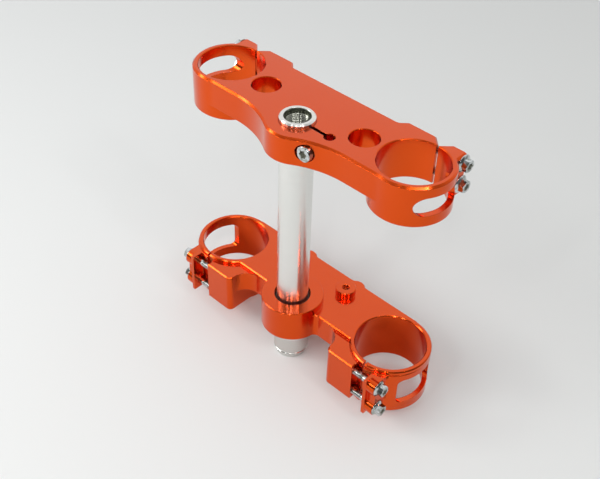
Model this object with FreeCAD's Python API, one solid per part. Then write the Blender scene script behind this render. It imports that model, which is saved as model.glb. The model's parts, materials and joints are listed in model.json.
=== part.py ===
import FreeCAD, Part
import math
import os

# Motorcycle triple clamp: an upper and a lower machined clamp joined by a hollow steering stem.
# +X is the rider's right, +Y points forwards to the wheel, +Z runs up the steering axis.
# The origin is the centre of the stem's lower end. All sizes are in millimetres.

os.makedirs("parts", exist_ok=True)

# Layout of the assembly
fork_spacing = 187.0          # between the two fork tube axes
fork_offset = 21.2            # fork tube axes ahead of the steering axis
lower_top = 60.0              # top face of the lower clamp above the stem's lower end
clamp_distance = 185.0        # top face to top face of the two clamps
upper_top = lower_top + clamp_distance
fork_x = fork_spacing / 2

# Fork tubes held by the clamps
upper_tube_radius = 27.0
lower_tube_radius = 30.0
tube_lead_in = 0.8            # chamfer at both ends of a fork bore
clamp_slit = 2.0              # saw cut that lets a ring close on its tube

# Upper clamp
upper_ring_height = 34.6
upper_arm_thickness = 23.8
upper_ring_wall = 4.7
upper_ring_radius = upper_tube_radius + upper_ring_wall
rear_wall_lead = 0.9          # straight rear wall, ahead of the rings' rearmost line
nose_wall = 11.45             # metal round the stem in the round nose
nose_blend_inset = 38.5       # the nose's blend reaches the straight wall here, inboard of a fork
ear_depth = 9.4               # pinch ears ahead of the fork bores
ear_step = 5.6                # the front wall between the ears lies back by this much
ear_step_inset = 36.0         # middle of the step, inboard of a fork
ear_step_run = 6.0
ear_step_round = 4.0
ear_root_inset = 14.5         # inner end of the deep ear under the arm, inboard of a fork
upper_lug_inset = 11.2        # seat of the bolt heads, inboard of the ring's outer side
lug_corner = 2.2
notch_mouth = 8.0             # half width of the V notch at the front face
notch_land = 1.6              # ring wall left behind the notch
upper_rim = 1.6               # chamfer round the upper clamp's top face
under_rim = 0.5               # small chamfer round the lower edges of both clamps
upper_window_length = 48.5
upper_window_height = 16.0
ring_blend = 30.0             # round between the rear wall and a ring

# Handlebar mount holes and stem clamp in the upper clamp
bar_hole_radius = 11.8
bar_hole_inset = 43.0         # inboard of a fork tube's axis
bar_hole_y = 17.6
hole_rim = 0.6
relief_radius = 4.4           # round end of the stem clamp's slit
relief_reach = 8.8            # beyond the pinch screw
stem_slit = 3.2
pocket_width = 22.0           # two lightening pockets under the upper clamp
pocket_rib = 8.0
pocket_wall = 8.0
pocket_roof = 9.0
pocket_corner = 6.0

# Lower clamp
lower_ring_height = 47.0
lower_ring_wall = 4.2
lower_ring_radius = lower_tube_radius + lower_ring_wall
lower_arm_thickness = 23.5
lower_rear_wall = 0.0         # rear wall of the arms, behind the steering axis
lower_front_cover = 0.4       # front wall of the arms ahead of the rings
lower_rim = 1.0
boss_wall = 11.6              # boss round the stem
boss_rise = 7.2               # boss above the lower clamp's top face
boss_blend = 5.0
boss_rim = 0.5
block_inner_inset = 35.0      # tapped pinch block, between these two inboard of a fork
block_outer_inset = 6.1
block_rear = 20.3             # its rear face behind the steering axis
block_drop = 3.5              # the block's top below the clamp's top face
block_height = 39.0
block_relief = 14.5           # round between the block and the arm
block_corner = 4.5
block_rim = 1.0
lower_lug_inset = 14.3        # seat of the bolt heads, inboard of the ring's outer side
lower_lug_thickness = 10.4
lug_plate = 3.0               # straight-edged plate at the lug's inner end
lug_plate_edge = 0.2          # the plate's edge outside the round pads
lug_pad_radius = 7.5          # round pad behind each bolt head
lug_web_setback = 3.4         # the web between the pads, ahead of their rearmost line
lug_web_blend = 3.0
lug_root = 16.5               # how far the lug runs forwards into the ring
ledge_back = 1.2              # thicker ring wall at the lug: its circle lies back by this much
ledge_rim = 0.4
lower_window_length = 44.0
lower_window_height = 27.5
lower_window_corner = 5.0
arm_corner = 2.0
nub_radius = 8.0              # steering stop nubs on the front wall
nub_x = 29.0
nub_inset = 4.8               # their centres behind the wall
nub_blend = 4.0
stud_boss_radius = 9.0        # tapped bosses on top of the lower clamp
stud_boss_rise = 6.5
stud_x = 27.6
stud_y = 38.5
stud_thread_radius = 3.0
stud_thread_depth = 15.0
stud_rim = 0.6
arm_pocket_wall = 6.5         # lightening pocket under each arm: wall to the boss, rear and front
arm_pocket_ring_wall = 9.0    # wall to the fork bore
arm_pocket_depth = 12.0
arm_pocket_corner = 5.0

# Steering stem
stem_top_rise = 3.5           # stem above the upper clamp
stem_radius = 13.65
stem_seat_radius = 14.05      # where the upper clamp grips it
stem_foot_radius = 15.4       # pressed into the lower clamp and on below it
stem_foot_taper = 1.4
stem_foot_taper_length = 5.4
stem_foot_groove = 0.6        # depth of the V groove above the taper
stem_bore_radius = 9.25
stem_thread_radius = 9.7
stem_thread_length = 30.0
stem_mouth_radius = 10.3
stem_mouth_depth = 3.7
stem_edge = 1.0
seal_groove_gap = 0.3         # open groove round the stem in the boss
seal_groove_depth = 4.0
stem_fit = 0.03               # clearance of the stem in both clamps

# Fasteners
pinch_radius = 3.0            # M6 shank
pinch_hole_gap = 0.3          # clearance hole, beyond the shank
thread_gap = 0.05             # tapped hole, beyond the shank
pinch_collar_radius = 7.1
pinch_collar_height = 1.4
pinch_head_height = 6.2       # collar and hexagon together
pinch_hex_flats = 9.0
pinch_lobe_radius = 2.7
pinch_recess_depth = 3.0
hole_bottom_gap = 2.0         # thread drilled on past the end of a screw
upper_pinch_length = 30.0
upper_pinch_pitch = 18.5
upper_pinch_middle = 16.5     # middle of the pair below the top face
lower_pinch_length = 40.0
lower_pinch_pitch = 24.0
lower_pinch_middle = 23.5
pinch_tube_gap = 0.1          # between the lower bolts and the ring they pass
stem_screw_radius = 4.0       # M8 socket screw
stem_screw_head_radius = 6.5
stem_screw_head_height = 8.0
stem_screw_length = 30.0
stem_screw_wall = 5.35        # metal between the stem and the screw
stem_screw_drop = 10.9        # below the upper clamp's top face
stem_screw_face = 18.7        # face of the head, behind the steering axis
stem_screw_sink_gap = 0.7     # counterbore, beyond the head
stem_screw_lobe_radius = 3.4
stem_screw_recess_depth = 4.0
screw_edge = 0.5
lobe_share = 0.24             # a lobe's radius in a six-lobe recess, as a share of its reach
core_share = 0.74             # and the round core's
crown_angle = 30.0            # bevel of the hexagon's top corners, in degrees

# Working values
over = 1.0                    # cutters and hidden roots run on past a face by this much
long_edge = 1.0               # an edge longer than this along X is meant to be rounded
near = 0.5                    # an upright edge this near a stated spot is meant
level_gap = 0.01              # two heights closer than this are one

sides = (("left", -1), ("right", 1))
levels = (("high", 1), ("low", -1))
y_axis = FreeCAD.Vector(0, 1, 0)
z_axis = FreeCAD.Vector(0, 0, 1)


def point(x, y, z=0.0):
    return FreeCAD.Vector(x, y, z)


def pillar(radius, low, high, x=0.0, y=0.0):
    return Part.makeCylinder(radius, high - low, point(x, y, low), z_axis)


def rod(radius, start, end, along):
    return Part.makeCylinder(radius, end.sub(start).Length, start, along)


def block(x_span, y_span, low, high):
    x_low, x_high = sorted(x_span)
    y_low, y_high = sorted(y_span)
    return Part.makeBox(x_high - x_low, y_high - y_low, high - low, point(x_low, y_low, low))


def prism(corners, low, high):
    loop = [point(x, y, low) for x, y in corners]
    outline = Part.makePolygon(loop + loop[:1])
    return Part.Face(outline).extrude(point(0, 0, high - low))


def fuse(first, *others):
    return first.fuse(list(others)).removeSplitter()


def cut(first, *others):
    return first.cut(list(others)).removeSplitter()


def upright_edges(shape, spots):
    """The vertical edges that stand on the given plan positions."""
    found = []
    for edge in shape.Edges:
        first, last = edge.firstVertex().Point, edge.lastVertex().Point
        upright = math.hypot(first.x - last.x, first.y - last.y) < level_gap
        if upright and any(math.hypot(first.x - x, first.y - y) < near for x, y in spots):
            found.append(edge)
    return found


def round_upright(shape, radius, spots):
    return shape.makeFillet(radius, upright_edges(shape, spots))


def bevel_rim(shape, size, level):
    """Chamfer every edge that lies flat at one height."""
    def at_level(edge):
        box = edge.BoundBox
        return abs(box.ZMin - level) < level_gap and abs(box.ZMax - level) < level_gap
    return shape.makeChamfer(size, [edge for edge in shape.Edges if at_level(edge)])


def drill(radius, low, high, x, y, rim):
    """A through hole's cutter, with a chamfer at both ends."""
    hole = pillar(radius, low - over, high + over, x, y)
    wide = radius + rim + over
    top = Part.makeCone(radius, wide, rim + over, point(x, y, high - rim), z_axis)
    bottom = Part.makeCone(wide, radius, rim + over, point(x, y, low - over), z_axis)
    return hole.fuse([top, bottom])


def window(side, length, height, corner, middle, reach):
    """A rounded slot cut outwards along X through the outer wall of a fork ring."""
    low, high = middle - height / 2, middle + height / 2
    y_span = (fork_offset - length / 2, fork_offset + length / 2)
    slot = block((side * fork_x, side * reach), y_span, low, high)
    long_edges = [edge for edge in slot.Edges if edge.BoundBox.XLength > long_edge]
    return slot.makeFillet(corner, long_edges)


def circle_meets_line(radius, centre_x, centre_y, line_y):
    """How far inboard of its centre a circle crosses a line parallel to X."""
    return centre_x - math.sqrt(radius ** 2 - (line_y - centre_y) ** 2)


def six_lobe(radius, start, depth, along):
    """The recess for a six-lobe key: a round core with six round lobes."""
    lobe = radius * lobe_share
    core = Part.makeCylinder(radius * core_share, depth, start, along)
    swing = FreeCAD.Rotation(z_axis, along)
    lobes = []
    for step in range(6):
        turn = math.radians(60 * step)
        reach = radius - lobe
        offset = swing.multVec(point(reach * math.cos(turn), reach * math.sin(turn)))
        lobes.append(Part.makeCylinder(lobe, depth, start.add(offset), along))
    return core.fuse(lobes)


def hexagon(flats, low, high):
    across = flats / math.sqrt(3)
    turns = [math.radians(60 * step + 30) for step in range(6)]
    return prism([(across * math.cos(turn), across * math.sin(turn)) for turn in turns], low, high)


def flanged_bolt(length):
    """A pinch bolt standing on its end: collar seat at zero, shank below, head above."""
    shank = pillar(pinch_radius, -length + screw_edge, 0)
    tip = Part.makeCone(pinch_radius - screw_edge, pinch_radius, screw_edge, point(0, 0, -length), z_axis)
    skirt_height = pinch_collar_height / 2
    skirt = pillar(pinch_collar_radius, 0, skirt_height)
    slope = Part.makeCone(pinch_collar_radius, pinch_hex_flats / 2, pinch_collar_height,
                          point(0, 0, skirt_height), z_axis)
    hexagon_body = hexagon(pinch_hex_flats, 0, pinch_head_height)
    crown_reach = pinch_hex_flats / 2 + pinch_head_height / math.tan(math.radians(crown_angle))
    crown = Part.makeCone(crown_reach, pinch_hex_flats / 2, pinch_head_height, point(0, 0, 0), z_axis)
    head = hexagon_body.common(crown)
    recess = six_lobe(pinch_lobe_radius, point(0, 0, pinch_head_height - pinch_recess_depth),
                      pinch_recess_depth + over, z_axis)
    return fuse(shank, tip, skirt, slope, head).cut(recess)


def laid(shape, seat, along):
    """Turn a shape that was built upright onto a seat and a direction."""
    placed = shape.copy()
    placed.Placement = FreeCAD.Placement(seat, FreeCAD.Rotation(z_axis, along))
    return placed


def pinch_axes(middle, pitch):
    return [(name, middle + way * pitch / 2) for name, way in levels]


# Places that several pieces share
upper_bore_front = fork_offset + upper_tube_radius
ear_front = upper_bore_front + ear_depth
upper_front_wall = ear_front - ear_step
upper_rear_wall = upper_ring_radius - fork_offset - rear_wall_lead
upper_lug_seat = fork_x + upper_ring_radius - upper_lug_inset
nose_radius = stem_seat_radius + nose_wall
bar_hole_x = fork_x - bar_hole_inset
stem_screw_x = stem_seat_radius + stem_screw_wall + stem_screw_radius
relief_x = stem_screw_x + relief_reach
boss_radius = stem_foot_radius + boss_wall
lower_front_wall = fork_offset + lower_ring_radius + lower_front_cover
lower_lug_seat = fork_x + lower_ring_radius - lower_lug_inset
block_inner = fork_x - block_inner_inset
block_outer = fork_x - block_outer_inset
upper_pinch_y = (upper_bore_front + ear_front) / 2
lower_pinch_y = fork_offset - lower_ring_radius - pinch_radius - pinch_tube_gap
upper_pinch_z = upper_top - upper_pinch_middle
lower_pinch_z = lower_top - lower_pinch_middle
stem_screw_z = upper_top - stem_screw_drop
stem_screw_seat = -stem_screw_face + stem_screw_head_height
block_top = lower_top - block_drop
block_bottom = block_top - block_height


def nose_and_arms(low, high):
    """The upper clamp's beam: straight walls, ears in front and a round nose behind."""
    rear = -upper_rear_wall
    end_x = fork_x
    nose_blend_end = fork_x - nose_blend_inset
    step_start = fork_x - ear_step_inset - ear_step_run / 2
    step_end = step_start + ear_step_run
    blend_radius = (nose_blend_end ** 2 + upper_rear_wall ** 2 - nose_radius ** 2) / (
        2 * (nose_radius - upper_rear_wall))
    blend_y = rear - blend_radius
    share = nose_radius / (nose_radius + blend_radius)
    meet_x, meet_y = nose_blend_end * share, blend_y * share
    half_turn = math.atan2(nose_blend_end - meet_x, meet_y - blend_y) / 2
    mid_x = nose_blend_end - blend_radius * math.sin(half_turn)
    mid_y = blend_y + blend_radius * math.cos(half_turn)
    front = [(-end_x, ear_front), (-step_end, ear_front), (-step_start, upper_front_wall),
             (step_start, upper_front_wall), (step_end, ear_front), (end_x, ear_front)]
    corners = [point(x, y, low) for x, y in front]
    edges = [Part.makeLine(a, b) for a, b in zip(corners, corners[1:])]
    right_end, left_end = point(end_x, rear, low), point(-end_x, rear, low)
    right_blend, left_blend = point(nose_blend_end, rear, low), point(-nose_blend_end, rear, low)
    right_meet, left_meet = point(meet_x, meet_y, low), point(-meet_x, meet_y, low)
    edges.append(Part.makeLine(corners[-1], right_end))
    edges.append(Part.makeLine(right_end, right_blend))
    edges.append(Part.Arc(right_blend, point(mid_x, mid_y, low), right_meet).toShape())
    edges.append(Part.Arc(right_meet, point(0, -nose_radius, low), left_meet).toShape())
    edges.append(Part.Arc(left_meet, point(-mid_x, mid_y, low), left_blend).toShape())
    edges.append(Part.makeLine(left_blend, left_end))
    edges.append(Part.makeLine(left_end, corners[0]))
    outline = Part.Wire(Part.__sortEdges__(edges))
    beam = Part.Face(outline).extrude(point(0, 0, high - low))
    return round_upright(beam, ear_step_round, [(side * step_start, upper_front_wall) for _, side in sides])


def upper_ring_plan(low, high, inner):
    """Both fork rings with their pinch lugs, from the given inner end outwards."""
    rings = []
    for _, side in sides:
        rings.append(pillar(upper_ring_radius, low, high, side * fork_x, fork_offset))
        rings.append(block((side * inner, side * upper_lug_seat), (fork_offset, ear_front), low, high))
    return rings


def notch_cutters(low, high):
    """The V notches between ear and lug, and the saw cuts into the bores."""
    apex_y = upper_bore_front + notch_land
    slope = notch_mouth / (ear_front - apex_y)
    mouth_y = ear_front + over
    reach = slope * (mouth_y - apex_y)
    cutters = []
    for _, side in sides:
        x = side * fork_x
        cutters.append(prism([(x, apex_y), (x + reach, mouth_y), (x - reach, mouth_y)], low, high))
        half = clamp_slit / 2
        cutters.append(block((x - half, x + half), (fork_offset, apex_y + slope), low, high))
    return cutters


def stem_clamp_cutters(low, high):
    """Stem bore, slit with its relief hole, and the pinch screw's stepped hole."""
    gap = stem_slit / 2
    seat = point(stem_screw_x, stem_screw_seat, stem_screw_z)
    rear = point(stem_screw_x, -nose_radius - over, stem_screw_z)
    tip = point(stem_screw_x, stem_screw_seat + stem_screw_length + hole_bottom_gap, stem_screw_z)
    middle = point(stem_screw_x, gap, stem_screw_z)
    return [
        drill(stem_seat_radius + stem_fit, low, high, 0, 0, hole_rim),
        drill(relief_radius, low, high, relief_x, 0, hole_rim / 2),
        block((0, relief_x), (-gap, gap), low - over, high + over),
        rod(stem_screw_head_radius + stem_screw_sink_gap, rear, seat, y_axis),
        rod(stem_screw_radius + pinch_hole_gap, seat, middle, y_axis),
        rod(stem_screw_radius + thread_gap, seat, tip, y_axis),
    ]


def pinch_holes(z_levels, y, seat_x, split_x, length):
    """Clearance holes through the lugs and tapped holes beyond the slit, on both sides."""
    holes = []
    for _, side in sides:
        for _, z in z_levels:
            outside = point(side * (seat_x + over), y, z)
            split = point(side * split_x, y, z)
            tip = point(side * (seat_x - length - hole_bottom_gap), y, z)
            holes.append(rod(pinch_radius + pinch_hole_gap, outside, split, point(-side, 0, 0)))
            holes.append(rod(pinch_radius + thread_gap, split, tip, point(-side, 0, 0)))
    return holes


def upper_clamp():
    arm_low = upper_top - upper_arm_thickness
    ring_low = upper_top - upper_ring_height
    beam = fuse(nose_and_arms(arm_low, upper_top), *upper_ring_plan(arm_low, upper_top, fork_x))
    meet_x = circle_meets_line(upper_ring_radius, fork_x, fork_offset, -upper_rear_wall)
    beam = round_upright(beam, ring_blend, [(side * meet_x, -upper_rear_wall) for _, side in sides])
    corners = [(side * upper_lug_seat, ear_front) for _, side in sides]
    beam = round_upright(beam, lug_corner, corners)
    beam = cut(beam, *notch_cutters(arm_low - over, upper_top + over)[::2])
    beam = bevel_rim(beam, upper_rim, upper_top)
    beam = bevel_rim(beam, under_rim, arm_low)
    rings = fuse(*upper_ring_plan(ring_low, arm_low + upper_rim, fork_x - ear_root_inset))
    rings = bevel_rim(round_upright(rings, lug_corner, corners), under_rim, ring_low)
    body = fuse(beam, rings)
    cutters = notch_cutters(ring_low - over, upper_top + over)
    cutters += stem_clamp_cutters(arm_low, upper_top)
    cutters += pinch_holes(pinch_axes(upper_pinch_z, upper_pinch_pitch), upper_pinch_y,
                           upper_lug_seat, fork_x, upper_pinch_length)
    ring_middle = (ring_low + upper_top) / 2
    for _, side in sides:
        cutters.append(drill(upper_tube_radius, ring_low, upper_top, side * fork_x, fork_offset,
                             tube_lead_in))
        cutters.append(drill(bar_hole_radius, arm_low, upper_top, side * bar_hole_x, bar_hole_y, hole_rim))
        cutters.append(window(side, upper_window_length, upper_window_height,
                              upper_window_height / 2 - level_gap, ring_middle,
                              fork_x + 2 * upper_ring_radius))
        inner = side * pocket_rib / 2
        pocket = block((inner, inner + side * pocket_width),
                       (stem_seat_radius + pocket_wall / 2, upper_front_wall - pocket_wall),
                       arm_low - over, upper_top - pocket_roof)
        spots = [(x, y) for x in (inner, inner + side * pocket_width)
                 for y in (stem_seat_radius + pocket_wall / 2, upper_front_wall - pocket_wall)]
        cutters.append(round_upright(pocket, pocket_corner, spots))
    return cut(body, *cutters)


def lower_clamp():
    arm_low = lower_top - lower_arm_thickness
    ring_low = lower_top - lower_ring_height
    boss_top = lower_top + boss_rise
    stud_top = lower_top + stud_boss_rise
    rear = -lower_rear_wall
    plate = block((-fork_x, fork_x), (rear, lower_front_wall), arm_low, lower_top)
    extras = [pillar(boss_radius, arm_low, lower_top)]
    for _, side in sides:
        extras.append(pillar(lower_ring_radius, arm_low, lower_top, side * fork_x, fork_offset))
        extras.append(pillar(nub_radius, arm_low, lower_top, side * nub_x, lower_front_wall - nub_inset))
    plate = fuse(plate, *extras)
    ring_meet = circle_meets_line(lower_ring_radius, fork_x, fork_offset, rear)
    plate = round_upright(plate, arm_corner, [(side * ring_meet, rear) for _, side in sides])
    boss_meet = math.sqrt(boss_radius ** 2 - rear ** 2)
    plate = round_upright(plate, boss_blend, [(side * boss_meet, rear) for _, side in sides])
    nub_half = math.sqrt(nub_radius ** 2 - nub_inset ** 2)
    nub_spots = [(side * nub_x + way * nub_half, lower_front_wall) for _, side in sides for way in (-1, 1)]
    plate = round_upright(plate, nub_blend, nub_spots)
    plate = bevel_rim(plate, lower_rim, lower_top)
    boss = bevel_rim(pillar(boss_radius, arm_low, boss_top), boss_rim, boss_top)
    pieces = [boss]
    for _, side in sides:
        ring = pillar(lower_ring_radius, ring_low, lower_top - lower_rim, side * fork_x, fork_offset)
        stud_boss = pillar(stud_boss_radius, lower_top - over, stud_top, side * stud_x, stud_y)
        pieces += [ring, bevel_rim(stud_boss, boss_rim, stud_top)]
        pieces += lower_pinch_ends(side, arm_low)
    body = fuse(plate, *pieces)
    cutters = [
        drill(stem_foot_radius + stem_fit, arm_low, boss_top, 0, 0, hole_rim / 2),
        pillar(stem_foot_radius + seal_groove_gap, boss_top - seal_groove_depth, boss_top + over),
    ]
    cutters += pinch_holes(pinch_axes(lower_pinch_z, lower_pinch_pitch), lower_pinch_y,
                           lower_lug_seat, fork_x, lower_pinch_length)
    half = clamp_slit / 2
    ring_middle = (ring_low + lower_top) / 2
    for _, side in sides:
        x = side * fork_x
        cutters.append(drill(lower_tube_radius, ring_low, lower_top, x, fork_offset, tube_lead_in))
        slit_rear = fork_offset - ledge_back - lower_ring_radius - over
        cutters.append(block((x - half, x + half), (slit_rear, fork_offset),
                             ring_low - over, lower_top + over))
        cutters.append(window(side, lower_window_length, lower_window_height,
                              lower_window_corner, ring_middle, fork_x + 2 * lower_ring_radius))
        cutters.append(pillar(stud_thread_radius, stud_top - stud_thread_depth, stud_top + over,
                              side * stud_x, stud_y))
        wide = stud_thread_radius + stud_rim + over
        cutters.append(Part.makeCone(stud_thread_radius, wide, stud_rim + over,
                                     point(side * stud_x, stud_y, stud_top - stud_rim), z_axis))
        inner = side * (boss_radius + arm_pocket_wall)
        outer = side * (fork_x - lower_tube_radius - arm_pocket_ring_wall)
        depths = (arm_pocket_wall - lower_rear_wall, lower_front_wall - arm_pocket_wall)
        pocket = block((inner, outer), depths, arm_low - over, arm_low + arm_pocket_depth)
        spots = [(x, y) for x in (inner, outer) for y in depths]
        cutters.append(round_upright(pocket, arm_pocket_corner, spots))
    return cut(body, *cutters)


def lower_pinch_ends(side, arm_low):
    """The tapped block inboard of a lower ring's slit and the waisted lug outboard of it."""
    rear = -block_rear
    tapped = block((side * block_inner, side * block_outer), (rear, fork_offset), block_bottom, block_top)
    tapped = round_upright(tapped, block_corner, [(side * block_inner, rear)])
    tapped = bevel_rim(tapped, block_rim, block_top)
    web = block((side * (block_inner - block_relief - over), side * block_outer),
                (-lower_rear_wall, fork_offset), arm_low, block_top)
    stub = block((side * block_inner, side * block_outer), (rear + block_corner, fork_offset),
                 arm_low, block_top)
    relief = round_upright(fuse(web, stub), block_relief, [(side * block_inner, -lower_rear_wall)])
    return [tapped, relief, lower_lug(side), lug_ledge(side)]


def lug_ledge(side):
    """The ring's thicker wall below the lug's top: a crescent that fades out round the ring."""
    low = lower_pinch_z - lower_pinch_pitch / 2 - lug_pad_radius
    y = fork_offset - ledge_back
    crescent = bevel_rim(pillar(lower_ring_radius, low, block_top, side * fork_x, y), ledge_rim, block_top)
    outboard = block((side * fork_x, side * (fork_x + 2 * lower_ring_radius)),
                     (y - 2 * lower_ring_radius, y), low, block_top)
    return crescent.common(outboard)


def lower_lug(side):
    """The lug that carries the lower bolt heads: a straight plate, then two round pads with a web."""
    pad_low = lower_pinch_z - lower_pinch_pitch / 2
    pad_high = lower_pinch_z + lower_pinch_pitch / 2
    inner = lower_lug_seat - lower_lug_thickness
    span = (side * inner, side * lower_lug_seat)
    root = lower_pinch_y + lug_root
    web_rear = lower_pinch_y - lug_pad_radius + lug_web_setback
    reach = lug_pad_radius + lug_plate_edge
    shapes = [
        block(span, (lower_pinch_y, root), pad_low - lug_pad_radius, pad_high + lug_pad_radius),
        block((side * inner, side * (inner + lug_plate)), (lower_pinch_y - reach, root),
              pad_low - reach, pad_high + reach),
    ]
    for z in (pad_low, pad_high):
        start = point(span[0], lower_pinch_y, z)
        shapes.append(rod(lug_pad_radius, start, point(span[1], lower_pinch_y, z), point(side, 0, 0)))
    shapes.append(block(span, (web_rear, root), pad_low, pad_high))
    lug = fuse(*shapes)
    roots = [edge for edge in lug.Edges
             if edge.BoundBox.XLength > long_edge and abs(edge.BoundBox.YMax - web_rear) < level_gap]
    return lug.makeFillet(lug_web_blend, roots)


def stem():
    top = upper_top + stem_top_rise
    seat_low = upper_top - upper_arm_thickness + hole_rim
    foot_top = lower_top + boss_rise - seal_groove_depth
    outline = [
        (stem_bore_radius, 0),
        (stem_foot_radius - stem_foot_taper, 0),
        (stem_foot_radius, stem_foot_taper_length),
        (stem_foot_radius - stem_foot_groove, stem_foot_taper_length + stem_foot_groove),
        (stem_foot_radius, stem_foot_taper_length + 2 * stem_foot_groove),
        (stem_foot_radius, foot_top - stem_edge),
        (stem_foot_radius - stem_edge, foot_top),
        (stem_radius, foot_top),
        (stem_radius, seat_low),
        (stem_seat_radius, seat_low + stem_edge),
        (stem_seat_radius, top - stem_edge),
        (stem_seat_radius - stem_edge, top),
        (stem_mouth_radius + stem_edge / 2, top),
        (stem_mouth_radius, top - stem_edge / 2),
        (stem_mouth_radius, top - stem_mouth_depth),
        (stem_thread_radius, top - stem_mouth_depth),
        (stem_thread_radius, top - stem_mouth_depth - stem_thread_length),
        (stem_bore_radius, top - stem_mouth_depth - stem_thread_length - stem_edge),
    ]
    loop = [point(r, 0, z) for r, z in outline]
    return Part.Face(Part.makePolygon(loop + loop[:1])).revolve(point(0, 0), z_axis, 360)


def stem_pinch_screw():
    head = pillar(stem_screw_head_radius, 0, stem_screw_head_height)
    head = bevel_rim(head, screw_edge, stem_screw_head_height)
    shank = pillar(stem_screw_radius, -stem_screw_length + screw_edge, 0)
    tip = Part.makeCone(stem_screw_radius - screw_edge, stem_screw_radius, screw_edge,
                        point(0, 0, -stem_screw_length), z_axis)
    recess = six_lobe(stem_screw_lobe_radius, point(0, 0, stem_screw_head_height - stem_screw_recess_depth),
                      stem_screw_recess_depth + over, z_axis)
    screw = fuse(head, shank, tip).cut(recess)
    return laid(screw, point(stem_screw_x, stem_screw_seat, stem_screw_z), point(0, -1, 0))


def pinch_bolts(clamp, length, seat_x, y, z_levels):
    bolt = flanged_bolt(length)
    bolts = {}
    for side_name, side in sides:
        for level_name, z in z_levels:
            name = clamp + "_pinch_bolt_" + side_name + "_" + level_name
            bolts[name] = laid(bolt, point(side * seat_x, y, z), point(side, 0, 0))
    return bolts


pieces = {
    "upper_clamp": upper_clamp(),
    "lower_clamp": lower_clamp(),
    "stem": stem(),
    "stem_pinch_screw": stem_pinch_screw(),
}
pieces.update(pinch_bolts("upper", upper_pinch_length, upper_lug_seat, upper_pinch_y,
                          pinch_axes(upper_pinch_z, upper_pinch_pitch)))
pieces.update(pinch_bolts("lower", lower_pinch_length, lower_lug_seat, lower_pinch_y,
                          pinch_axes(lower_pinch_z, lower_pinch_pitch)))

for name, shape in pieces.items():
    print(name, "solids", len(shape.Solids), "volume", round(shape.Volume, 1), "valid", shape.isValid())
    shape.exportStep("parts/" + name + ".step")
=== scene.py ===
import json
import math
import bpy
from mathutils import Matrix, Vector


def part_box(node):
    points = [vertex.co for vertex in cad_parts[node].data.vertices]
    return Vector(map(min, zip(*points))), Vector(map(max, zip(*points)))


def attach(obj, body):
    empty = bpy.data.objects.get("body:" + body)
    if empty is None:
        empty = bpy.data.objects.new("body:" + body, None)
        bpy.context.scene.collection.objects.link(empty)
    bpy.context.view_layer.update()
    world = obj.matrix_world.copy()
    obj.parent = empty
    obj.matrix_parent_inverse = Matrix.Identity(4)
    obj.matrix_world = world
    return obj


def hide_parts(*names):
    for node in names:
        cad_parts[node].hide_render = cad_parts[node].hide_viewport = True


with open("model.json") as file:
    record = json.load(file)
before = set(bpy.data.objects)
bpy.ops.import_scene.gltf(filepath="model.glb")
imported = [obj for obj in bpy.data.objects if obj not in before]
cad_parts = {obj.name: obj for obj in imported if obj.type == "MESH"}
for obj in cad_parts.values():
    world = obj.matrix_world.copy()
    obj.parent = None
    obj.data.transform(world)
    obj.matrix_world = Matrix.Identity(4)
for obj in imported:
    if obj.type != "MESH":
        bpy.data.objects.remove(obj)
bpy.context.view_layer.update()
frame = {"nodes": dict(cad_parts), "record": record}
millimetre = 0.001


class Wire:
    # an output of a node: Python's operators add Math nodes to its tree
    def __init__(self, tree, socket):
        self.tree = tree
        self.socket = socket

    def maths(self, operation, first, second=0.0):
        kind = "ShaderNodeMath"
        return addNode(self.tree, kind, {"operation": operation}, {0: first, 1: second})

    def __add__(self, other):
        return self.maths("ADD", self, other)

    def __radd__(self, other):
        return self.maths("ADD", other, self)

    def __sub__(self, other):
        return self.maths("SUBTRACT", self, other)

    def __rsub__(self, other):
        return self.maths("SUBTRACT", other, self)

    def __mul__(self, other):
        return self.maths("MULTIPLY", self, other)

    def __rmul__(self, other):
        return self.maths("MULTIPLY", other, self)

    def __truediv__(self, other):
        return self.maths("DIVIDE", self, other)

    def __rtruediv__(self, other):
        return self.maths("DIVIDE", other, self)

    def part(self, name):
        return Wire(self.tree, self.socket.node.outputs[name])


def addNode(tree, kind, settings=None, sockets=None, out=0):
    # settings first, then a value or a Wire for each socket, or a list of Wires for one
    node = tree.nodes.new(kind)
    for key, value in (settings or {}).items():
        setattr(node, key, value)
    for key, value in (sockets or {}).items():
        wires = value if isinstance(value, list) else [value]
        for wire in wires:
            if isinstance(wire, Wire):
                tree.links.new(wire.socket, node.inputs[key])
            else:
                node.inputs[key].default_value = wire
    return Wire(tree, node.outputs[out] if node.outputs else None)


def mixColours(tree, factor, first, second):
    # sockets 0, 6 and 7 of a colour Mix node are its factor and its two colours
    sockets = {0: factor}
    for key, value in ((6, first), (7, second)):
        sockets[key] = value if isinstance(value, Wire) else (*value, 1.0)
    return addNode(tree, "ShaderNodeMix", {"data_type": "RGBA"}, sockets, 2)


def spread(tree, value, low, high, fromLow=0.3, fromHigh=0.7):
    # carries a range over to another one; by default the first is what a noise usually fills
    sockets = {0: value, 1: fromLow, 2: fromHigh, 3: low, 4: high}
    return addNode(tree, "ShaderNodeMapRange", {}, sockets)


def newMaterial(name):
    material = bpy.data.materials.new(name)
    material.use_nodes = True
    tree = material.node_tree
    tree.nodes.clear()
    place = addNode(tree, "ShaderNodeTexCoord", out="Object")
    return material, tree, place


def closeMaterial(tree, sockets):
    shader = addNode(tree, "ShaderNodeBsdfPrincipled", sockets=sockets)
    addNode(tree, "ShaderNodeOutputMaterial", sockets={"Surface": shader})


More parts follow.
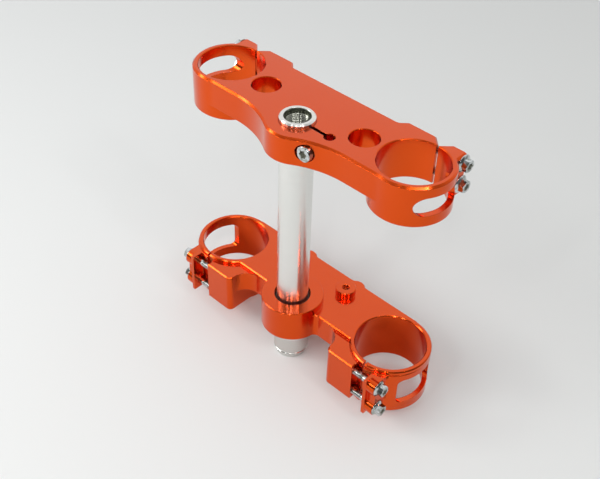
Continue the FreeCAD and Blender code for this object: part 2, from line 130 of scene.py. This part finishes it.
anodisedSetup = {
    "deep": (0.72, 0.072, 0.005),
    "bright": (0.79, 0.093, 0.009),
    "edgeHighlight": (0.88, 0.24, 0.10),    # painted highlight: a lighter tint along the edges
    "edgeHighlightShare": 0.35,
    "edgeHighlightReach": (0.72, 0.97),     # likeness of the rounded normal to the face's own
    "cloudScale": 22.0,
    "grainScale": 2600.0,
    "grainDepth": 0.008 * millimetre,
    "roughness": (0.15, 0.23),
    "toolPitch": 0.45 * millimetre,
    "toolDepth": 0.0010 * millimetre,
    "topReach": (0.90, 0.98),      # how level a face is before it counts as a faced top
    "facingPitch": 0.72 * millimetre,
    "facingRadius": 60.0 * millimetre,
    "facingDepth": 0.0009 * millimetre,
    "edgeRadius": 0.6 * millimetre,
    "coat": (0.14, 0.55),          # on the milled walls and on the faced tops
    "coatRoughness": 0.10,
    "coatIor": 1.5,
}


def anodisedMetal():
    # dyed oxide over milled aluminium: cloudy tint, fine grain, level cutter marks on the walls,
    # wide arcs of the facing cutter on the tops, and a painted highlight in a lighter tint along the edges
    setup = anodisedSetup
    material, tree, place = newMaterial("orangeAnodised")
    cloud = addNode(tree, "ShaderNodeTexNoise", {}, {
        "Vector": place, "Scale": setup["cloudScale"], "Detail": 3.0, "Roughness": 0.55}, "Fac")
    grain = addNode(tree, "ShaderNodeTexNoise", {}, {
        "Vector": place, "Scale": setup["grainScale"], "Detail": 2.0}, "Fac")
    normal = addNode(tree, "ShaderNodeNewGeometry", out="Normal")
    rounded = addNode(tree, "ShaderNodeBevel", {"samples": 6}, {"Radius": setup["edgeRadius"]})
    likeness = addNode(tree, "ShaderNodeVectorMath", {"operation": "DOT_PRODUCT"},
                       {0: normal, 1: rounded}, "Value")
    # painted highlight: the colour turns to a lighter tint where the rounded normal leaves the face's own
    edge = spread(tree, likeness, setup["edgeHighlightShare"], 0.0, *setup["edgeHighlightReach"])
    colour = mixColours(tree, cloud, setup["deep"], setup["bright"])
    colour = mixColours(tree, edge, colour, setup["edgeHighlight"])
    lean = addNode(tree, "ShaderNodeSeparateXYZ", {}, {0: normal}, "Z")
    steep = addNode(tree, "ShaderNodeMath", {"operation": "ABSOLUTE"}, {0: lean})
    flat = spread(tree, steep, 0.0, 1.0, *setup["topReach"])
    axes = addNode(tree, "ShaderNodeSeparateXYZ", {}, {0: place}, "Z")
    walls = addNode(tree, "ShaderNodeMath", {"operation": "SINE"},
                    {0: axes * (2 * math.pi / setup["toolPitch"])})
    across = axes.part("X") / setup["facingRadius"]
    bow = axes.part("Y") + 0.25 * setup["facingRadius"] * across * across
    facing = addNode(tree, "ShaderNodeMath", {"operation": "SINE"},
                     {0: bow * (2 * math.pi / setup["facingPitch"])})
    marks = (1 - flat) * walls * setup["toolDepth"] + flat * facing * setup["facingDepth"]
    bump = addNode(tree, "ShaderNodeBump", {}, {
        "Strength": 0.6, "Distance": 1.0, "Height": marks + grain * setup["grainDepth"],
        "Normal": rounded})
    closeMaterial(tree, {
        "Base Color": colour, "Metallic": 1.0, "Normal": bump,
        "Roughness": spread(tree, grain * 0.5 + cloud * 0.5, *setup["roughness"]),
        "Coat Weight": spread(tree, flat, *setup["coat"], 0.0, 1.0),
        "Coat Roughness": setup["coatRoughness"], "Coat IOR": setup["coatIor"]})
    return material


stemSetup = {
    "tone": (0.84, 0.84, 0.815),
    "dark": (0.70, 0.70, 0.675),
    "bandShare": 0.35,
    "ringPitch": 0.22 * millimetre,
    "ringDepth": 0.0014 * millimetre,
    "bandPitch": 260.0,
    "edgeRadius": 0.08 * millimetre,
    "roughness": (0.20, 0.28),
    # a darker tone on the foot, below 21.6 to 24 mm
    "foot": (0.66, 0.66, 0.635),
    "footTop": (21.6 * millimetre, 24.0 * millimetre),
    # painted shade: a dark colour inside the bore
    "inside": (0.21, 0.22, 0.18),
    "boreRadii": (10.5 * millimetre, 10.7 * millimetre),
    # painted highlight: a lighter colour on the thread crests
    "crest": (0.66, 0.67, 0.60),
    "crestRadii": (9.30 * millimetre, 9.62 * millimetre),
    "anisotropy": 0.75,
    "grooveShade": (0.10, 0.095, 0.09),
    "grooveShadeHeight": 63.3 * millimetre,    # painted shade: a dark ring in the groove over the foot's shoulder
    "grooveShadeReach": (0.96 * millimetre, 1.6 * millimetre),
    "grooveShadeCover": 0.9,
}


def turnedSteel():
    # bright turned bar: fine rings round the axis, faint dull bands where the feed changed,
    # a darker foot, painted shade inside the bore with painted highlights on the thread crests, and painted
    # shade in the groove over the foot's shoulder
    setup = stemSetup
    material, tree, place = newMaterial("turnedSteel")
    height = addNode(tree, "ShaderNodeSeparateXYZ", {}, {0: place}, "Z")
    level = addNode(tree, "ShaderNodeCombineXYZ", {}, {"X": height.part("X"), "Y": height.part("Y")})
    radius = addNode(tree, "ShaderNodeVectorMath", {"operation": "LENGTH"}, {0: level}, "Value")
    inside = spread(tree, radius, 1.0, 0.0, *setup["boreRadii"])
    rings = addNode(tree, "ShaderNodeMath", {"operation": "SINE"},
                    {0: height * (2 * math.pi / setup["ringPitch"])})
    along = addNode(tree, "ShaderNodeCombineXYZ", {}, {"Z": height * setup["bandPitch"]})
    bands = addNode(tree, "ShaderNodeTexNoise", {}, {
        "Vector": along, "Scale": 1.0, "Detail": 4.0}, "Fac")
    smudge = addNode(tree, "ShaderNodeTexNoise", {}, {
        "Vector": place, "Scale": 60.0, "Detail": 3.0}, "Fac")
    rounded = addNode(tree, "ShaderNodeBevel", {"samples": 6}, {"Radius": setup["edgeRadius"]})
    bump = addNode(tree, "ShaderNodeBump", {}, {
        "Strength": 0.7, "Distance": 1.0, "Height": (rings + 2 * bands) * setup["ringDepth"],
        "Normal": rounded})
    above = addNode(tree, "ShaderNodeMath", {"operation": "ABSOLUTE"},
                    {0: height - setup["grooveShadeHeight"]})
    # painted shade: a dark ring round the groove over the foot's shoulder, which is also made rougher
    grooveShade = spread(tree, above, setup["grooveShadeCover"], 0.0, *setup["grooveShadeReach"])
    foot = spread(tree, height, 1.0, 0.0, *setup["footTop"])
    crest = spread(tree, radius, 1.0, 0.0, *setup["crestRadii"])
    bare = mixColours(tree, bands * setup["bandShare"], setup["tone"], setup["dark"])
    bare = mixColours(tree, foot, bare, setup["foot"])
    # painted shade in the bore, with painted highlights on the thread crests
    thread = mixColours(tree, crest, setup["inside"], setup["crest"])
    bare = mixColours(tree, inside, bare, thread)
    closeMaterial(tree, {
        "Base Color": mixColours(tree, grooveShade, bare, setup["grooveShade"]),
        "Metallic": 1.0, "Normal": bump,
        "Roughness": spread(tree, smudge * 0.6 + bands * 0.4, *setup["roughness"]) + grooveShade * 0.3,
        "Anisotropic": setup["anisotropy"], "Anisotropic Rotation": 0.25})
    return material


zincSetup = {
    "blue": (0.68, 0.71, 0.73),
    "olive": (0.34, 0.37, 0.34),
    "patchReach": (0.40, 0.65),
    "patchScale": 380.0,
    # painted shade: a darker colour inside the six-lobe recess
    "recess": (0.30, 0.30, 0.24),
    "recessShadeCover": 0.85,
    "recessMatt": (0.6, 0.25),       # what it takes off the metallic and adds to the roughness
    "grainScale": 5200.0,
    "grainDepth": 0.004 * millimetre,
    "edgeRadius": 0.08 * millimetre,
    "roughness": (0.03, 0.09),
}


def zincPlate():
    # bright passivated zinc: a bluish film with dark olive patches; inside the recess it is duller, with
    # painted shade darkening its colour
    setup = zincSetup
    material, tree, place = newMaterial("zincPlate")
    patches = addNode(tree, "ShaderNodeTexNoise", {}, {
        "Vector": place, "Scale": setup["patchScale"], "Detail": 2.0}, "Fac")
    grain = addNode(tree, "ShaderNodeTexNoise", {}, {
        "Vector": place, "Scale": setup["grainScale"], "Detail": 2.0}, "Fac")
    rounded = addNode(tree, "ShaderNodeBevel", {"samples": 6}, {"Radius": setup["edgeRadius"]})
    bump = addNode(tree, "ShaderNodeBump", {}, {
        "Strength": 0.6, "Distance": 1.0, "Height": grain * setup["grainDepth"], "Normal": rounded})
    recess = addNode(tree, "ShaderNodeAttribute", {"attribute_name": "recess"}, out="Fac")
    patch = spread(tree, patches, 0.0, 1.0, *setup["patchReach"])
    film = mixColours(tree, patch, setup["blue"], setup["olive"])
    lessMetal, moreRough = setup["recessMatt"]
    rough = spread(tree, patches * 0.5 + grain * 0.5, *setup["roughness"])
    closeMaterial(tree, {
        # painted shade inside the recess
        "Base Color": mixColours(tree, recess * setup["recessShadeCover"], film, setup["recess"]),
        "Metallic": 1 - recess * lessMetal, "Normal": bump,
        "Roughness": rough + recess * moreRough})
    return material


# the photograph's camera, worked out from the fork bores and the stem
cameraSetup = {
    "azimuth": 42.04,
    "elevation": 41.279,
    "roll": 2.276,
    "distance": 0.7881,
    "aim": (0.00484, 0.00969, 0.11438),
    "focalPixels": 944.8,
    "imageSize": (600, 479),
    "opticalCentre": (305.94, 248.79),
    "sensorWidth": 36.0,
}


def makeCamera(setup):
    turn, rise, roll = (math.radians(setup[key]) for key in ("azimuth", "elevation", "roll"))
    back = Vector((math.sin(turn) * math.cos(rise), -math.cos(turn) * math.cos(rise), math.sin(rise)))
    level = Vector((math.cos(turn), math.sin(turn), 0.0))
    upright = back.cross(level)
    right = math.cos(roll) * level + math.sin(roll) * upright
    up = math.cos(roll) * upright - math.sin(roll) * level
    width, height = setup["imageSize"]
    centreX, centreY = setup["opticalCentre"]
    data = bpy.data.cameras.new("photoCamera")
    data.sensor_width = setup["sensorWidth"]
    data.lens = setup["sensorWidth"] * setup["focalPixels"] / width
    data.shift_x = (width / 2 - centreX) / width
    data.shift_y = (centreY - height / 2) / width
    data.clip_start, data.clip_end = 0.01, 50.0
    camera = bpy.data.objects.new("photoCamera", data)
    bpy.context.scene.collection.objects.link(camera)
    placed = Matrix((right, up, back)).transposed().to_4x4()
    placed.translation = Vector(setup["aim"]) + back * setup["distance"]
    camera.matrix_world = placed
    bpy.context.scene.camera = camera


studioSetup = {
    "floorHalf": 3.0,
    "floorBright": (0.85, 0.87, 0.875),
    "floorDim": (0.83, 0.85, 0.85),
    "floorFade": (-0.35, 0.75),   # metres along the way the light falls off
    "floorSlant": 0.9,
    "sky": 0.90,                  # what polished faces mirror
    "dark": 0.12,                 # and what they mirror to the sides and behind the camera
    "backWay": (-0.52, 0.58, 0.63),
    "backReach": (-0.15, 0.60),
    "fill": 0.53,                 # what the room gives as light
    "roomTint": (1.0, 0.995, 0.985),
    "backdrop": (0.74, 0.74, 0.73),
}


def makeFloor(setup):
    half = setup["floorHalf"]
    mesh = bpy.data.meshes.new("studioFloor")
    corners = [(-half, -half, 0), (half, -half, 0), (half, half, 0), (-half, half, 0)]
    mesh.from_pydata(corners, [], [(0, 1, 2, 3)])
    floor = bpy.data.objects.new("studioFloor", mesh)
    bpy.context.scene.collection.objects.link(floor)
    material, tree, place = newMaterial("palePaper")
    axes = addNode(tree, "ShaderNodeSeparateXYZ", {}, {0: place}, "X")
    slide = axes + setup["floorSlant"] * axes.part("Y")
    near, far = setup["floorFade"]
    fade = addNode(tree, "ShaderNodeMapRange", {"interpolation_type": "SMOOTHSTEP"},
                   {0: slide, 1: near, 2: far})
    closeMaterial(tree, {
        "Base Color": mixColours(tree, fade, setup["floorBright"], setup["floorDim"]),
        "Roughness": 0.85, "Specular IOR Level": 0.1})
    mesh.materials.append(material)


def makeWorld(setup):
    # a pale screen behind the part, darker elsewhere; where the camera sees it, a plain backdrop
    world = bpy.data.worlds.new("studioRoom")
    bpy.context.scene.world = world
    world.use_nodes = True
    tree = world.node_tree
    tree.nodes.clear()
    way = addNode(tree, "ShaderNodeTexCoord", out="Generated")
    facing = addNode(tree, "ShaderNodeVectorMath", {"operation": "DOT_PRODUCT"},
                     {0: way, 1: setup["backWay"]}, "Value")
    near, far = setup["backReach"]
    screen = addNode(tree, "ShaderNodeMapRange", {"interpolation_type": "SMOOTHSTEP"}, {
        0: facing, 1: near, 2: far, 3: setup["dark"], 4: setup["sky"]})
    mirrored = addNode(tree, "ShaderNodeLightPath", out="Is Glossy Ray")
    strength = mirrored * screen + (1 - mirrored) * setup["fill"]
    room = addNode(tree, "ShaderNodeBackground", {}, {
        "Color": (*setup["roomTint"], 1.0), "Strength": strength})
    plain = addNode(tree, "ShaderNodeBackground", {}, {
        "Color": (*setup["backdrop"], 1.0), "Strength": 1.0})
    seen = addNode(tree, "ShaderNodeLightPath", out="Is Camera Ray")
    both = addNode(tree, "ShaderNodeMixShader", {}, {0: seen, 1: room, 2: plain})
    addNode(tree, "ShaderNodeOutputWorld", sockets={"Surface": both})


lamps = {
    # name: place, aim, width, height, watts, colour
    # metal doesn't mirror the front fill; the strip draws the bright lines along the blocks' edges,
    # the band the one round each ring, and the windows the streaks in the stem's bore
    "frontFill": ((-0.80, -1.90, 1.80), (0.0, 0.0, 0.05), 1.60, 1.60, 11.5, (1.0, 1.0, 1.0)),
    "lowKey": ((-1.25, -0.95, 0.95), (0.0, 0.0, 0.08), 0.50, 0.50, 6.0, (1.0, 0.99, 0.97)),
    "edgeStrip": ((-0.54, -0.94, 0.66), (0.0, 0.0, 0.06), 0.60, 0.12, 2.3, (1.0, 0.98, 0.95)),
    "windowBand": ((0.83, -0.54, 1.31), (0.06, -0.02, 0.20), 1.00, 0.10, 2.6, (1.0, 0.99, 0.97)),
    "windowLeft": ((0.18, -1.30, 1.38), (0.0, 0.0, 0.18), 0.05, 0.24, 1.6, (1.0, 0.99, 0.97)),
    "windowMiddle": ((0.76, -1.10, 1.44), (0.0, 0.0, 0.18), 0.05, 0.24, 1.6, (1.0, 0.99, 0.97)),
    "windowRight": ((1.33, -0.14, 1.50), (0.0, 0.0, 0.18), 0.05, 0.24, 1.6, (1.0, 0.99, 0.97)),
}


def makeLamps(boxes):
    for name, (place, aim, width, height, watts, colour) in boxes.items():
        data = bpy.data.lights.new(name, "AREA")
        data.shape = "RECTANGLE"
        data.size, data.size_y = width, height
        data.energy = watts
        data.color = colour
        lamp = bpy.data.objects.new(name, data)
        lamp.visible_glossy = name != "frontFill"
        lamp.location = place
        lamp.rotation_euler = (Vector(aim) - Vector(place)).to_track_quat("-Z", "Y").to_euler()
        bpy.context.scene.collection.objects.link(lamp)


scene = bpy.context.scene
scene.view_settings.view_transform = "Standard"
makeCamera(cameraSetup)
makeFloor(studioSetup)
makeWorld(studioSetup)
makeLamps(lamps)
print("studio ready")

finishes = {"clamp_anodised": anodisedMetal(), "stem_steel": turnedSteel(), "bolt_zinc": zincPlate()}
slotOf = {entry["node"]: entry["material_slot"] for entry in frame["record"]["subparts"]}
for name, node in frame["nodes"].items():
    node.data.materials.clear()
    node.data.materials.append(finishes[slotOf[name]])
print("finishes on", len(frame["nodes"]), "nodes")


sharpAngle = math.radians(32.0)


def newShapeTree(name, inputs, withMesh=False):
    # a Geometry Nodes tree with named inputs; returns it with a Wire for each input
    tree = bpy.data.node_groups.new(name, "GeometryNodeTree")
    if withMesh:
        tree.interface.new_socket("Mesh", in_out="INPUT", socket_type="NodeSocketGeometry")
    for label, (kind, value) in inputs.items():
        socket = tree.interface.new_socket(label, in_out="INPUT", socket_type="NodeSocket" + kind)
        if value is not None:
            socket.default_value = value
    tree.interface.new_socket("Mesh", in_out="OUTPUT", socket_type="NodeSocketGeometry")
    given = tree.nodes.new("NodeGroupInput")
    return tree, {socket.name: Wire(tree, socket) for socket in given.outputs if socket.name}


def closeShapeTree(tree, mesh, material):
    whole = addNode(tree, "GeometryNodeRealizeInstances", sockets={"Geometry": mesh})
    dressed = addNode(tree, "GeometryNodeSetMaterial", sockets={"Geometry": whole, "Material": material})
    addNode(tree, "NodeGroupOutput", sockets={0: dressed})


def growMesh(name, base, tree, values):
    # runs the tree once on a carrier object and keeps the result as a plain mesh
    carrier = bpy.data.objects.new(name + "Carrier", base)
    bpy.context.scene.collection.objects.link(carrier)
    modifier = carrier.modifiers.new("shape", "NODES")
    modifier.node_group = tree
    for item in tree.interface.items_tree:
        if item.in_out == "INPUT" and item.name in values:
            modifier[item.identifier] = values[item.name]
    depsgraph = bpy.context.evaluated_depsgraph_get()
    mesh = bpy.data.meshes.new_from_object(carrier.evaluated_get(depsgraph), depsgraph=depsgraph)
    carrier.modifiers.remove(modifier)
    bpy.data.objects.remove(carrier)
    mesh.name = name
    mesh.shade_smooth()
    mesh.set_sharp_from_angle(angle=sharpAngle)
    return mesh


def setPiece(name, grown, place, replaced=()):
    # a copy of a grown mesh, put in its place on the part
    mesh = grown.copy()
    mesh.transform(place)
    piece = bpy.data.objects.new(name, mesh)
    bpy.context.scene.collection.objects.link(piece)
    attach(piece, "root")
    if replaced:
        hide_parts(*replaced)


ridgeSetup = {
    # shares of the thread's depth and pitch
    "height": 1.06,
    "foot": 0.84,
    "crest": 0.14,
}


def threadTree(setup):
    # one ridge wound round an axis from z = 0 up; its crest may stand inwards or outwards
    tree, given = newShapeTree("threadRidge", {
        "Root Radius": ("Float", 3.0), "Crest Radius": ("Float", 2.5), "Pitch": ("Float", 1.0),
        "Length": ("Float", 10.0), "Segments": ("Int", 36), "Material": ("Material", None)})
    rise = given["Crest Radius"] - given["Root Radius"]
    inwards = addNode(tree, "FunctionNodeCompare", {"operation": "LESS_THAN"}, {0: rise, 1: 0.0})
    depth = addNode(tree, "ShaderNodeMath", {"operation": "ABSOLUTE"}, {0: rise})
    turns = (given["Length"] - given["Pitch"]) / given["Pitch"]
    middle = (given["Crest Radius"] + given["Root Radius"]) / 2
    path = addNode(tree, "GeometryNodeCurveSpiral", {}, {
        "Resolution": given["Segments"], "Rotations": turns, "Start Radius": middle,
        "End Radius": middle, "Height": given["Length"] - given["Pitch"]})
    path = addNode(tree, "GeometryNodeSetCurveNormal", {"mode": "Z_UP"}, {"Curve": path})
    ridge = addNode(tree, "GeometryNodeCurvePrimitiveQuadrilateral", {"mode": "TRAPEZOID"}, {
        "Height": depth * setup["height"], "Bottom Width": given["Pitch"] * setup["foot"],
        "Top Width": given["Pitch"] * setup["crest"], "Offset": 0.0})
    way = (1 - 2 * inwards) * (math.pi / 2)
    turned = addNode(tree, "GeometryNodeTransform", {}, {
        "Geometry": ridge, "Rotation": addNode(tree, "ShaderNodeCombineXYZ", {}, {"Z": way})})
    wound = addNode(tree, "GeometryNodeCurveToMesh", {}, {
        "Curve": path, "Profile Curve": turned, "Fill Caps": True})
    lift = addNode(tree, "ShaderNodeCombineXYZ", {}, {"Z": given["Pitch"] / 2})
    raised = addNode(tree, "GeometryNodeTransform", {}, {"Geometry": wound, "Translation": lift})
    closeShapeTree(tree, raised, given["Material"])
    return tree


latheReach = 20.0       # radius of the circle that carries a lathed outline, in millimetres
latheSegments = 72
crownSegments = 96


def lathed(tree, profile, reach, segments):
    # sweeps an open profile of points (radius, height, 0) round Z
    curve = addNode(tree, "GeometryNodeMeshToCurve", {}, {"Mesh": profile})
    laid = addNode(tree, "GeometryNodeTransform", {}, {
        "Geometry": curve, "Translation": (-reach, 0.0, 0.0), "Rotation": (math.pi, 0.0, 0.0)})
    circle = addNode(tree, "GeometryNodeCurvePrimitiveCircle", {}, {"Resolution": segments, "Radius": reach})
    circle = addNode(tree, "GeometryNodeSetCurveNormal", {"mode": "Z_UP"}, {"Curve": circle})
    swept = addNode(tree, "GeometryNodeCurveToMesh", {}, {"Curve": circle, "Profile Curve": laid})
    outwards = addNode(tree, "GeometryNodeFlipFaces", sockets={"Mesh": swept})
    return addNode(tree, "GeometryNodeMergeByDistance", {}, {"Geometry": outwards, "Distance": 1e-4})


def boltTree(name, hexagonHead):
    # lathed body from the carrier's profile, hexagon under a crown cone, six-lobe recess, wound thread
    tree, given = newShapeTree(name, {
        "Head Height": ("Float", 6.2), "Hexagon Flats": ("Float", 9.0), "Crown Angle": ("Float", 0.52),
        "Recess Radius": ("Float", 2.7), "Recess Core": ("Float", 2.0), "Recess Depth": ("Float", 3.0),
        "Recess Round": ("Float", 0.4),
        "Root Radius": ("Float", 2.45), "Crest Radius": ("Float", 2.97), "Pitch": ("Float", 1.0),
        "Thread Low": ("Float", -40.0), "Thread Length": ("Float", 20.0),
        "Material": ("Material", None)}, withMesh=True)
    body = lathed(tree, given["Mesh"], latheReach, latheSegments)
    parts = [body]
    if hexagonHead:
        apothem = given["Hexagon Flats"] / 2
        height = given["Head Height"]
        prism = addNode(tree, "GeometryNodeMeshCylinder", {}, {
            "Vertices": 6, "Radius": apothem / math.cos(math.pi / 6), "Depth": height - 0.2})
        middle = addNode(tree, "ShaderNodeCombineXYZ", {}, {"Z": height / 2 + 0.1})
        prism = addNode(tree, "GeometryNodeTransform", {}, {"Geometry": prism, "Translation": middle})
        slope = addNode(tree, "ShaderNodeMath", {"operation": "TANGENT"}, {0: given["Crown Angle"]})
        crown = addNode(tree, "GeometryNodeMeshCone", {}, {
            "Vertices": crownSegments, "Radius Top": apothem,
            "Radius Bottom": apothem + height / slope, "Depth": height})
        common = {"operation": "INTERSECT", "solver": "EXACT"}
        parts.append(addNode(tree, "GeometryNodeMeshBoolean", common, {"Mesh 2": [prism, crown]}))
    wound = {"node_tree": bpy.data.node_groups["threadRidge"]}
    ridge = addNode(tree, "GeometryNodeGroup", wound, {
        "Root Radius": given["Root Radius"], "Crest Radius": given["Crest Radius"],
        "Pitch": given["Pitch"], "Length": given["Thread Length"], "Material": given["Material"]})
    low = addNode(tree, "ShaderNodeCombineXYZ", {}, {"Z": given["Thread Low"]})
    parts.append(addNode(tree, "GeometryNodeTransform", {}, {"Geometry": ridge, "Translation": low}))
    joined = {"operation": "UNION", "solver": "EXACT"}
    whole = addNode(tree, "GeometryNodeMeshBoolean", joined, {"Mesh 2": parts})
    star = addNode(tree, "GeometryNodeCurveStar", {}, {
        "Points": 6, "Inner Radius": given["Recess Core"], "Outer Radius": given["Recess Radius"]})
    star = addNode(tree, "GeometryNodeFilletCurve", {"mode": "POLY"}, {
        "Curve": star, "Count": 5, "Radius": given["Recess Round"], "Limit Radius": True})
    top = given["Head Height"]
    bottom = addNode(tree, "ShaderNodeCombineXYZ", {}, {"Z": top - given["Recess Depth"]})
    above = addNode(tree, "ShaderNodeCombineXYZ", {}, {"Z": top + 1.0})
    line = addNode(tree, "GeometryNodeCurvePrimitiveLine", {}, {"Start": bottom, "End": above})
    cutter = addNode(tree, "GeometryNodeCurveToMesh", {}, {
        "Curve": line, "Profile Curve": star, "Fill Caps": True})
    # marks the recess faces, where the zinc turns matt and takes its painted shade
    cutter = addNode(tree, "GeometryNodeStoreNamedAttribute", {"data_type": "FLOAT", "domain": "FACE"}, {
        "Geometry": cutter, "Name": "recess", "Value": 1.0})
    cut = addNode(tree, "GeometryNodeMeshBoolean", {"operation": "DIFFERENCE", "solver": "EXACT"},
                  {"Mesh 1": whole, "Mesh 2": cutter})
    closeShapeTree(tree, cut, given["Material"])
    return tree


def quarterRound(centreR, centreZ, radius, start, steps=4):
    # points of a quarter circle in the half outline, turning anticlockwise from the start angle
    angles = [math.radians(start + 90.0 * step / steps) for step in range(steps + 1)]
    return [(centreR + radius * math.cos(a), centreZ + radius * math.sin(a)) for a in angles]


def shankOutline(setup, length, plain):
    root, tip = setup["root"], setup["tip"]
    return [(0.0, -length), (root - tip, -length), (root, -length + tip), (root, -plain - tip),
            (setup["shank"], -plain), (setup["shank"], 0.0)]


def outlineMesh(name, points):
    mesh = bpy.data.meshes.new(name)
    mesh.from_pydata([(r, z, 0.0) for r, z in points], [(i, i + 1) for i in range(len(points) - 1)], [])
    return mesh


def placeOn(seat, along, turn):
    # stands a shape built up Z, in millimetres, on a seat with its own turn
    swing = Vector((0, 0, 1)).rotation_difference(along).to_matrix().to_4x4()
    return (Matrix.Translation(seat) @ swing @ Matrix.Rotation(math.radians(turn), 4, "Z")
            @ Matrix.Scale(millimetre, 4))


def screwInputs(setup, length, plain, material):
    return {
        "Head Height": setup["headHeight"], "Recess Radius": setup["recess"],
        "Recess Core": setup["recessCore"], "Recess Depth": setup["recessDepth"],
        "Recess Round": setup["recessRound"],
        "Root Radius": setup["root"], "Crest Radius": setup["crest"], "Pitch": setup["pitch"],
        "Thread Low": setup["tip"] / 2 - length, "Thread Length": length - plain - setup["tip"] / 2,
        "Material": material}


# every length below is in millimetres
flangedSetup = {
    "shank": 2.95, "root": 2.45, "crest": 2.97, "pitch": 1.0, "tip": 0.5,
    "collar": 7.1, "collarRim": 0.7, "rimRound": 0.3, "slopeTop": 2.1, "slopeInner": 4.3,
    "headHeight": 6.2, "hexagonFlats": 9.0, "crownAngle": math.radians(30.0),
    "recess": 3.3, "recessCore": 2.35, "recessDepth": 2.6, "recessRound": 0.4,
    # clamp: length, plain part
    "kinds": {"upper": (30.0, 6.0), "lower": (40.0, 16.0)},
    # turn of each head, in degrees
    "turns": {"left_high": 11.0, "left_low": 37.0, "right_high": 24.0, "right_low": 5.0},
}


def makePinchBolts(setup, tree, material):
    rim = setup["rimRound"]
    collar = [*quarterRound(setup["collar"] - rim, rim, rim, -90.0),
              (setup["collar"], setup["collarRim"] - rim / 2),
              (setup["collar"] - rim / 2, setup["collarRim"] + rim / 4),
              (setup["slopeInner"], setup["slopeTop"]), (0.0, setup["slopeTop"])]
    for clamp, (length, plain) in setup["kinds"].items():
        base = outlineMesh(clamp + "BoltOutline", shankOutline(setup, length, plain) + collar)
        values = screwInputs(setup, length, plain, material)
        values["Hexagon Flats"], values["Crown Angle"] = setup["hexagonFlats"], setup["crownAngle"]
        grown = growMesh(clamp + "Bolt", base, tree, values)
        for corner, turn in setup["turns"].items():
            node = clamp + "_pinch_bolt_" + corner
            low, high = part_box(node)
            side = 1 if low.x > 0 else -1
            outer = high.x if side > 0 else low.x
            middle = (low + high) / 2
            seat = Vector((outer - side * setup["headHeight"] * millimetre, middle.y, middle.z))
            name = clamp + "Bolt" + corner.title().replace("_", "")
            setPiece(name, grown, placeOn(seat, Vector((side, 0, 0)), turn), [node])


socketSetup = {
    "shank": 3.95, "root": 3.32, "crest": 3.97, "pitch": 1.25, "tip": 0.6, "length": 30.0, "plain": 3.0,
    "head": 6.5, "headHeight": 8.0, "headRound": 0.7,
    "recess": 4.1, "recessCore": 2.8, "recessDepth": 3.2, "recessRound": 0.55,
    "turn": 12.0,
}


def makeStemScrew(setup, tree, material):
    head, height, curve = setup["head"], setup["headHeight"], setup["headRound"]
    outline = shankOutline(setup, setup["length"], setup["plain"])
    outline += [*quarterRound(head - curve / 2, curve / 2, curve / 2, -90.0),
                *quarterRound(head - curve, height - curve, curve, 0.0), (0.0, height)]
    low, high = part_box("stem_pinch_screw")
    middle = (low + high) / 2
    seat = Vector((middle.x, low.y + height * millimetre, middle.z))
    grown = growMesh("stemScrewShape", outlineMesh("stemScrewOutline", outline), tree,
                     screwInputs(setup, setup["length"], setup["plain"], material))
    place = placeOn(seat, Vector((0, -1, 0)), setup["turn"])
    setPiece("stemScrew", grown, place, ["stem_pinch_screw"])


stemThreadSetup = {
    "root": 9.72, "crest": 9.25, "pitch": 1.5, "low": 214.8, "length": 30.0, "segments": 64,
}
bracketThreadSetup = {
    "root": 3.02, "crest": 2.5, "pitch": 1.0, "low": 51.5, "length": 13.6, "x": 27.6, "y": 38.5,
    "segments": 64,
}


def makeThread(name, setup, tree, material, x=0.0, y=0.0):
    grown = growMesh(name + "Shape", bpy.data.meshes.new(name + "Start"), tree, {
        "Root Radius": setup["root"], "Crest Radius": setup["crest"], "Pitch": setup["pitch"],
        "Length": setup["length"], "Segments": setup["segments"], "Material": material})
    place = Matrix.Scale(millimetre, 4) @ Matrix.Translation((x, y, setup["low"]))
    setPiece(name, grown, place)


ridge = threadTree(ridgeSetup)
makePinchBolts(flangedSetup, boltTree("flangedBolt", True), finishes["bolt_zinc"])
print("eight pinch bolts made")
makeStemScrew(socketSetup, boltTree("socketScrew", False), finishes["bolt_zinc"])
print("stem pinch screw made")
makeThread("stemThread", stemThreadSetup, ridge, finishes["stem_steel"])
for name, side in (("bracketThreadLeft", -1), ("bracketThreadRight", 1)):
    setup = bracketThreadSetup
    makeThread(name, setup, ridge, finishes["clamp_anodised"],
               side * setup["x"], setup["y"])
print("threads made")
